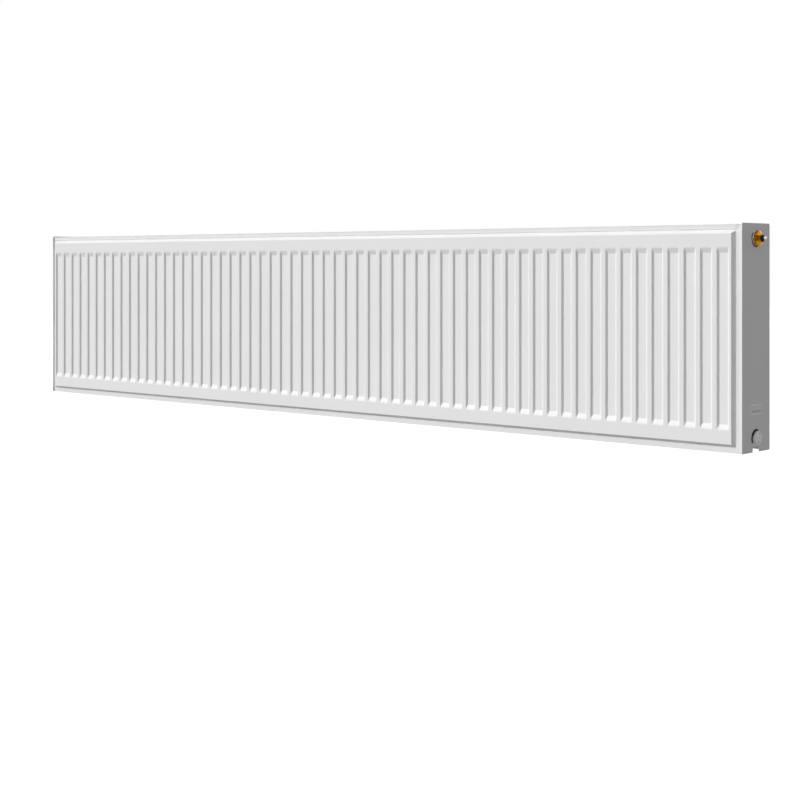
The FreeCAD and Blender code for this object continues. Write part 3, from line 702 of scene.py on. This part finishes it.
def grille_cell(face, cx, cy, rings):
    """One slot about (cx, cy) with its turned-down edge and the flat plate around it, by quarters."""
    outer = [(CELL_LONG / 2, 0.0), (CELL_LONG / 2, CELL_WIDE / 2), (0.0, CELL_WIDE / 2)]
    loop = outer + list(reversed(rings[0]))
    for sx, sy in ((1, 1), (-1, 1), (-1, -1), (1, -1)):
        flip = sx * sy < 0
        face([(cx + sx * x, cy + sy * y, GRILLE_TOP) for x, y in loop], flip)
        for level in range(len(SLOT_RIM) - 1):
            near, far = rings[level], rings[level + 1]
            z_near = GRILLE_TOP + SLOT_RIM[level][1]
            z_far = GRILLE_TOP + SLOT_RIM[level + 1][1]
            for k in range(len(near) - 1):
                quad = [
                    (cx + sx * near[k][0], cy + sy * near[k][1], z_near),
                    (cx + sx * near[k + 1][0], cy + sy * near[k + 1][1], z_near),
                    (cx + sx * far[k + 1][0], cy + sy * far[k + 1][1], z_far),
                    (cx + sx * far[k][0], cy + sy * far[k][1], z_far),
                ]
                face(quad, flip)


def grille_end(face, side):
    """The flat end of the plate beyond the slots, at the right (1) or the left (-1)."""
    marks = [k * CELL_WIDE / 2 - FIELD_HALF_Y for k in range(ROWS * 2 + 1)]
    corners = [(side * FIELD_HALF_X, y, GRILLE_TOP) for y in marks]
    corners.append((side * GRILLE_HALF_X, FIELD_HALF_Y, GRILLE_TOP))
    corners.append((side * GRILLE_HALF_X, -FIELD_HALF_Y, GRILLE_TOP))
    face(corners, side > 0)


def grille_lip(face, side):
    """The long edge of the plate with its rounded bend and its lip, at the wall (1) or the room (-1)."""
    half_x, bend = GRILLE_HALF_X, GRILLE_BEND
    marks = [k * CELL_LONG / 2 - FIELD_HALF_X for k in range(COLUMNS * 2 + 1)]
    profile = []
    for k in range(BEND_STEPS + 1):
        angle = math.pi / 2 * k / BEND_STEPS
        out = GRILLE_HALF_Y - bend + bend * math.sin(angle)
        profile.append((out, GRILLE_TOP - bend + bend * math.cos(angle)))
    profile.append((GRILLE_HALF_Y, GRILLE_LIP_END))
    bend_y = side * profile[0][0]
    inner = [(x, side * FIELD_HALF_Y, GRILLE_TOP) for x in (-half_x, *marks, half_x)]
    bend_line = [(half_x, bend_y, GRILLE_TOP), (-half_x, bend_y, GRILLE_TOP)]
    face(inner[::-1] + bend_line[::-1] if side > 0 else inner + bend_line)
    for (y1, z1), (y2, z2) in zip(profile, profile[1:]):
        quad = [
            (-half_x, side * y1, z1),
            (half_x, side * y1, z1),
            (half_x, side * y2, z2),
            (-half_x, side * y2, z2),
        ]
        face(quad, side > 0)


def make_grille():
    """Stamped top grille: round-ended slots with turned-down edges, and side lips on rounded bends."""
    work = bmesh.new()
    face = face_maker(work)
    rings = [slot_ring(SLOT_HALF_LONG + grow, SLOT_RADIUS + grow) for grow, _ in SLOT_RIM]
    for column in range(COLUMNS):
        for row in range(ROWS):
            cx = (column - (COLUMNS - 1) / 2) * CELL_LONG
            cy = (row - (ROWS - 1) / 2) * CELL_WIDE
            grille_cell(face, cx, cy, rings)
    for side in (1, -1):
        grille_end(face, side)
        grille_lip(face, side)
    bmesh.ops.recalc_face_normals(work, faces=work.faces)
    if max(work.faces, key=lambda f: f.calc_area()).normal.z < 0:
        bmesh.ops.reverse_faces(work, faces=work.faces)
    mesh = bpy.data.meshes.new("grille_plate")
    work.to_mesh(mesh)
    work.free()
    mesh.materials.append(WHITE)
    piece = bpy.data.objects.new("grille_plate", mesh)
    bpy.context.scene.collection.objects.link(piece)
    shade_by_angle(piece, 50)
    thick = piece.modifiers.new("gauge", "SOLIDIFY")
    thick.thickness = GRILLE_GAUGE * mm
    thick.offset = -1
    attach(piece, "grille")
    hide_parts("top_grille")


# ---------------------------------------------------------------- materials
def new_material(name):
    """An empty node material with its Principled shader."""
    material = bpy.data.materials.new(name)
    material.use_nodes = True
    shader = material.node_tree.nodes["Principled BSDF"]
    return material, material.node_tree, shader


def add(tree, kind, **settings):
    """A new node with these settings."""
    node = tree.nodes.new(kind)
    for key, value in settings.items():
        setattr(node, key, value)
    return node


def noise(tree, scale, detail=3.0, roughness=0.55, stretch=(1, 1, 1)):
    """Noise over the piece's own coordinates. scale is in features per metre."""
    where = add(tree, "ShaderNodeTexCoord")
    mapping = add(tree, "ShaderNodeMapping")
    mapping.inputs["Scale"].default_value = stretch
    texture = add(tree, "ShaderNodeTexNoise")
    texture.inputs["Scale"].default_value = scale
    texture.inputs["Detail"].default_value = detail
    texture.inputs["Roughness"].default_value = roughness
    tree.links.new(where.outputs["Object"], mapping.inputs["Vector"])
    tree.links.new(mapping.outputs["Vector"], texture.inputs["Vector"])
    return texture.outputs["Fac"]


def spread(tree, source, low, high):
    """source, 0.3 to 0.7 for most noise, mapped to low to high."""
    node = add(tree, "ShaderNodeMapRange")
    node.inputs["From Min"].default_value = 0.3
    node.inputs["From Max"].default_value = 0.7
    node.inputs["To Min"].default_value = low
    node.inputs["To Max"].default_value = high
    tree.links.new(source, node.inputs["Value"])
    return node.outputs["Result"]


def blend_colours(tree, factor, first, second):
    """A colour between two, by factor."""
    node = add(tree, "ShaderNodeMix", data_type="RGBA")
    node.inputs["A"].default_value = (*first, 1)
    node.inputs["B"].default_value = (*second, 1)
    tree.links.new(factor, node.inputs["Factor"])
    return node.outputs["Result"]


def bumps(tree, shader, layers):
    """Bump from (height source, depth in metres) layers, chained onto the shader's normal."""
    normal = None
    for source, depth in layers:
        node = add(tree, "ShaderNodeBump")
        node.inputs["Strength"].default_value = 1.0
        node.inputs["Distance"].default_value = depth
        tree.links.new(source, node.inputs["Height"])
        if normal is not None:
            tree.links.new(normal, node.inputs["Normal"])
        normal = node.outputs["Normal"]
    tree.links.new(normal, shader.inputs["Normal"])


def enamel(name, tone, roughness=0.42):
    """Stoved powder enamel: an even white with a faint orange peel and slow changes of film tone."""
    material, tree, shader = new_material(name)
    slow = spread(tree, noise(tree, 6.0, 2.0), 0.0, 1.0)
    light = tuple(min(c * 1.008, 1.0) for c in tone)
    deep = tuple(c * 0.985 for c in tone)
    tree.links.new(blend_colours(tree, slow, deep, light), shader.inputs["Base Color"])
    peel = noise(tree, 420.0, 2.0)
    fine = noise(tree, 1600.0, 2.0)
    gloss = spread(tree, noise(tree, 90.0, 3.0), roughness - 0.04, roughness + 0.05)
    tree.links.new(gloss, shader.inputs["Roughness"])
    shader.inputs["Specular IOR Level"].default_value = 0.18
    bumps(tree, shader, [(peel, 0.00005), (fine, 0.000008)])
    return material


def turned_brass():
    """Brass off the lathe: fine rings about the plug's axis, and a warmer, darker tarnish in places."""
    material, tree, shader = new_material("turned_brass")
    shader.inputs["Metallic"].default_value = 1.0
    tarnish = spread(tree, noise(tree, 220.0, 4.0), 0.0, 1.0)
    colour = blend_colours(tree, tarnish, (0.52, 0.215, 0.012), (0.70, 0.32, 0.025))
    tree.links.new(colour, shader.inputs["Base Color"])
    rings = noise(tree, 900.0, 2.0, stretch=(6.0, 0.15, 0.15))
    tree.links.new(spread(tree, rings, 0.2, 0.36), shader.inputs["Roughness"])
    bumps(tree, shader, [(rings, 0.00002)])
    return material


def moulded_plastic():
    """Black moulded plastic with a fine spark-eroded grain."""
    material, tree, shader = new_material("moulded_black_plastic")
    patches = spread(tree, noise(tree, 300.0, 3.0), 0.0, 1.0)
    colour = blend_colours(tree, patches, (0.006, 0.006, 0.0065), (0.012, 0.012, 0.013))
    shader.inputs["Specular IOR Level"].default_value = 0.25
    tree.links.new(colour, shader.inputs["Base Color"])
    grain = noise(tree, 2600.0, 2.0)
    tree.links.new(spread(tree, grain, 0.45, 0.62), shader.inputs["Roughness"])
    bumps(tree, shader, [(grain, 0.00003)])
    return material


def plated_steel():
    """Bright nickel plate with faint machining marks along the screw."""
    material, tree, shader = new_material("nickel_plate")
    shader.inputs["Metallic"].default_value = 0.8
    patches = spread(tree, noise(tree, 350.0, 3.0), 0.0, 1.0)
    colour = blend_colours(tree, patches, (0.74, 0.72, 0.69), (0.90, 0.89, 0.87))
    tree.links.new(colour, shader.inputs["Base Color"])
    marks = noise(tree, 1500.0, 2.0, stretch=(4.0, 0.3, 0.3))
    tree.links.new(spread(tree, marks, 0.24, 0.4), shader.inputs["Roughness"])
    bumps(tree, shader, [(marks, 0.00001)])
    return material


def blacked_steel():
    """Steel blackened by heat and oil, on the neck of the screw, with faint turning marks."""
    material, tree, shader = new_material("blacked_steel")
    shader.inputs["Metallic"].default_value = 0.3
    patches = spread(tree, noise(tree, 400.0, 3.0), 0.0, 1.0)
    colour = blend_colours(tree, patches, (0.010, 0.009, 0.009), (0.022, 0.020, 0.019))
    tree.links.new(colour, shader.inputs["Base Color"])
    marks = noise(tree, 1800.0, 2.0, stretch=(5.0, 0.3, 0.3))
    tree.links.new(spread(tree, marks, 0.4, 0.6), shader.inputs["Roughness"])
    bumps(tree, shader, [(marks, 0.00001)])
    return material


def zinc_plate():
    """Zinc-plated spring steel with a passivated, slightly iridescent tone and rolling marks."""
    material, tree, shader = new_material("zinc_plated_spring_steel")
    shader.inputs["Metallic"].default_value = 1.0
    patches = spread(tree, noise(tree, 120.0, 3.0), 0.0, 1.0)
    colour = blend_colours(tree, patches, (0.62, 0.60, 0.52), (0.70, 0.73, 0.76))
    tree.links.new(colour, shader.inputs["Base Color"])
    marks = noise(tree, 700.0, 3.0, stretch=(0.2, 1.0, 3.0))
    tree.links.new(spread(tree, marks, 0.28, 0.44), shader.inputs["Roughness"])
    bumps(tree, shader, [(marks, 0.00002)])
    return material


def seal_rubber():
    """Matt black sealing rubber with a slight bloom."""
    material, tree, shader = new_material("seal_rubber")
    bloom = spread(tree, noise(tree, 400.0, 4.0), 0.0, 1.0)
    colour = blend_colours(tree, bloom, (0.02, 0.02, 0.02), (0.045, 0.044, 0.042))
    tree.links.new(colour, shader.inputs["Base Color"])
    grain = noise(tree, 1800.0, 3.0)
    tree.links.new(spread(tree, grain, 0.62, 0.85), shader.inputs["Roughness"])
    bumps(tree, shader, [(grain, 0.00003)])
    return material


WHITE = enamel("white_enamel", (0.85, 0.85, 0.855))
COVER_WHITE = enamel("cover_enamel", (0.85, 0.85, 0.855))
# The badge's rim is whiter than its field: the badge's own white, with a painted highlight for the light on
# its raised rim.
BADGE_LIT_RIM = enamel("badge_enamel", (0.97, 0.97, 0.975), 0.36)
BADGE_FIELD = enamel("badge_field", (0.90, 0.90, 0.905), 0.4)
BADGE_BAR = enamel("badge_bar", (0.66, 0.66, 0.67), 0.5)
FIN_WHITE = enamel("fin_enamel", (0.80, 0.80, 0.805), 0.5)
BRASS = turned_brass()
BLACK = moulded_plastic()
NICKEL = plated_steel()
BLACKED = blacked_steel()
ZINC = zinc_plate()
RUBBER = seal_rubber()


def finish_node(name, material, edge=0.0, segments=3):
    """Gives a CAD node its material and, where edge is set, rounded edges of that width."""
    node = NODES[name]
    node.data.materials.clear()
    node.data.materials.append(material)
    if edge:
        round_edges(node, edge * mm, segments)


# ---------------------------------------------------------------- the object
PANEL_SKINS = [
    make_panel_skin("front_panel_skin", "front_outer_sheet", SHEET_LOW.y, -1, WHITE),
    make_panel_skin("rear_panel_skin", "rear_outer_sheet", REAR_HIGH.y, 1, WHITE),
]

for sheet in ("front_inner_sheet", "rear_inner_sheet"):
    finish_node(sheet, WHITE)
for fins in ("front_convector", "rear_convector"):
    finish_node(fins, FIN_WHITE)
for end in ("top_left", "top_right", "bottom_left", "bottom_right"):
    finish_node(f"tee_{end}", WHITE, 0.4)
for place in ("top_left", "top_middle", "top_right", "bottom_left", "bottom_middle", "bottom_right"):
    finish_node(f"lug_{place}", WHITE, 0.5)
for cover in ("right_side_cover", "left_side_cover"):
    finish_node(cover, COVER_WHITE, 0.45)
finish_node("grille_clips", ZINC, 0.25, 2)
finish_node("vent_plug_seal", RUBBER, 0.15, 2)
finish_node("blind_plug_seal", RUBBER, 0.15, 2)
finish_node("bleed_seal", RUBBER, 0.1, 2)
PLUGS = {"vent": make_vent_plug(), "screw": make_bleed_screw(), "blind": make_blind_plug()}
make_nozzle()
# The collars are painted shade: black rings that darken the gaps between the bosses and the side covers'
# holes.
for level, hole_z, shade_collar_front, sleeve_gap, flange_gap in (
    ("top", VENT_Z, 0.6, (0.1, 0.7), (0.1, 0.7)),
    ("bottom", BLIND_Z, 2.4, (2.94, 2.1), (math.pi, 0.85)),
):
    make_shade_collar(f"right_collar_{level}", hole_z, 1, shade_collar_front, sleeve_gap, flange_gap)
    make_shade_collar(f"left_collar_{level}", hole_z, -1, shade_collar_front, sleeve_gap, flange_gap)
make_grommet("right_grommet", VENT_Z, 1, "right_cover")
make_grommet("left_grommet", VENT_Z, -1, "left_cover")
make_tapping_thread("tapping_thread_top", VENT_Z)
make_tapping_thread("tapping_thread_bottom", BLIND_Z)
make_badge()
make_grille()


# ---------------------------------------------------------------- stage, light and camera
FLOOR_HALF = 12.0
FLOOR_LEVEL = -0.12
AMBIENT = 0.295
WINDOW_SIDE = (-0.7, 0.1, 0.7)
KEY_SIDE = (-0.545, -0.60, 0.545)
KEY_SPREAD = 36
FILL_SIDE = (-0.25, 0.85, 0.15)
ACCENT_SIDE = (0.3, -0.7, 0.65)
ACCENT_SPREAD = 30
CAMERA_PLACE = (2.3493, -2.5006, 0.3288)
CAMERA_HEADING = 41.89  # degrees, from straight at the wall towards the left
CAMERA_LENS = 69.76
CAMERA_SHIFT = -0.1697


def make_floor():
    """A plain pale floor under the radiator, which hangs 120 mm above it."""
    half, level = FLOOR_HALF, FLOOR_LEVEL
    mesh = bpy.data.meshes.new("floor")
    corners = [(-half, -half, level), (half, -half, level), (half, half, level), (-half, half, level)]
    mesh.from_pydata(corners, [], [(0, 1, 2, 3)])
    floor = bpy.data.objects.new("floor", mesh)
    bpy.context.scene.collection.objects.link(floor)
    material, tree, shader = new_material("pale_floor")
    shader.inputs["Base Color"].default_value = (0.25, 0.25, 0.25, 1)
    shader.inputs["Roughness"].default_value = 1.0
    shader.inputs["Specular IOR Level"].default_value = 0.0
    shader.inputs["Emission Color"].default_value = (1, 1, 1, 1)
    shader.inputs["Emission Strength"].default_value = 0.9
    mesh.materials.append(material)
    floor.visible_diffuse = False
    floor.visible_glossy = False


def soft_box(tree, towards, start, stop, dim, bright):
    """Brightness of the studio as gloss shows it: bright on the side that towards points to, and dim on
    the other. start and stop are the cosines between which it changes."""
    where = add(tree, "ShaderNodeTexCoord")
    facing = add(tree, "ShaderNodeVectorMath", operation="DOT_PRODUCT")
    facing.inputs[1].default_value = Vector(towards).normalized()
    ramp = add(tree, "ShaderNodeMapRange", interpolation_type="SMOOTHSTEP")
    ramp.inputs["From Min"].default_value = start
    ramp.inputs["From Max"].default_value = stop
    ramp.inputs["To Min"].default_value = dim
    ramp.inputs["To Max"].default_value = bright
    tree.links.new(where.outputs["Generated"], facing.inputs[0])
    tree.links.new(facing.outputs["Value"], ramp.inputs["Value"])
    return ramp.outputs["Result"]


def background(tree, strength=1.0):
    """A white background of this strength."""
    node = add(tree, "ShaderNodeBackground")
    node.inputs["Color"].default_value = (1, 1, 1, 1)
    node.inputs["Strength"].default_value = strength
    return node


def choose(tree, test, otherwise, chosen):
    """The chosen shader where the test is 1, and the other where it is 0."""
    node = add(tree, "ShaderNodeMixShader")
    tree.links.new(test, node.inputs[0])
    tree.links.new(otherwise.outputs[0], node.inputs[1])
    tree.links.new(chosen.outputs[0], node.inputs[2])
    return node


def make_world():
    """An even white ground, which lights the object more softly than it shows, with soft boxes in gloss."""
    world = bpy.data.worlds.new("studio")
    bpy.context.scene.world = world
    world.use_nodes = True
    tree = world.node_tree
    tree.nodes.clear()
    glossy = background(tree)
    studio = add(tree, "ShaderNodeMath", operation="ADD")
    tree.links.new(soft_box(tree, WINDOW_SIDE, -0.1, 0.35, 0.18, 1.1), studio.inputs[0])
    tree.links.new(soft_box(tree, (0, 0, -1), 0.05, 0.6, 0.0, 0.5), studio.inputs[1])
    tree.links.new(studio.outputs[0], glossy.inputs["Strength"])
    path = add(tree, "ShaderNodeLightPath")
    unseen = choose(tree, path.outputs["Is Glossy Ray"], background(tree, AMBIENT), glossy)
    seen = choose(tree, path.outputs["Is Camera Ray"], unseen, background(tree))
    output = add(tree, "ShaderNodeOutputWorld")
    tree.links.new(seen.outputs[0], output.inputs["Surface"])


def make_sun(name, towards, strength, spread_degrees):
    """A wide, soft light from far away. towards points from the object to the light."""
    light = bpy.data.lights.new(name, "SUN")
    light.energy = strength
    light.angle = math.radians(spread_degrees)
    lamp = bpy.data.objects.new(name, light)
    lamp.rotation_mode = "QUATERNION"
    lamp.rotation_quaternion = Vector(towards).to_track_quat("Z", "Y")
    lamp.location = Vector(towards) * 3
    bpy.context.scene.collection.objects.link(lamp)
    return lamp


def no_shadow_from(lamp, pieces):
    """The lamp's light isn't blocked by these pieces, so that a pressing's steps throw no shadow on it."""
    group = bpy.data.collections.new(f"{lamp.name}_passes")
    for piece in pieces:
        group.objects.link(piece)
    for entry in group.collection_objects:
        entry.light_linking.link_state = "EXCLUDE"
    lamp.light_linking.blocker_collection = group


def light_only(lamp, pieces):
    """The lamp lights these pieces only, and nothing shades them from it."""
    group = bpy.data.collections.new(f"{lamp.name}_lights")
    for piece in pieces:
        group.objects.link(piece)
    lamp.light_linking.receiver_collection = group
    lamp.data.use_shadow = False


def make_camera():
    """Level camera at the radiator's front right, a little below its top edge."""
    lens = bpy.data.cameras.new("camera")
    lens.lens = CAMERA_LENS
    lens.sensor_width = 36.0
    lens.shift_y = CAMERA_SHIFT
    lens.clip_start = 0.05
    lens.clip_end = 100
    camera = bpy.data.objects.new("camera", lens)
    camera.location = CAMERA_PLACE
    camera.rotation_euler = (math.radians(90), 0, math.radians(CAMERA_HEADING))
    bpy.context.scene.collection.objects.link(camera)
    bpy.context.scene.camera = camera


def make_lights():
    """A key light in two parts, a fill from the wall's side, and accents on the plugs."""
    key = make_sun("key", KEY_SIDE, 2.46, KEY_SPREAD)
    no_shadow_from(key, PANEL_SKINS)
    make_sun("key_edge", KEY_SIDE, 0.5, KEY_SPREAD)
    make_sun("wall_fill", FILL_SIDE, 1.4, 60)
    accent = make_sun("accent", ACCENT_SIDE, 0.55, ACCENT_SPREAD)
    light_only(accent, [PLUGS["vent"], PLUGS["blind"], NODES["tee_top_right"]])
    sparkle = make_sun("sparkle", ACCENT_SIDE, 3.2, ACCENT_SPREAD)
    light_only(sparkle, [PLUGS["screw"]])


make_floor()
make_world()
make_lights()
make_camera()
bpy.context.scene.view_settings.view_transform = "Standard"
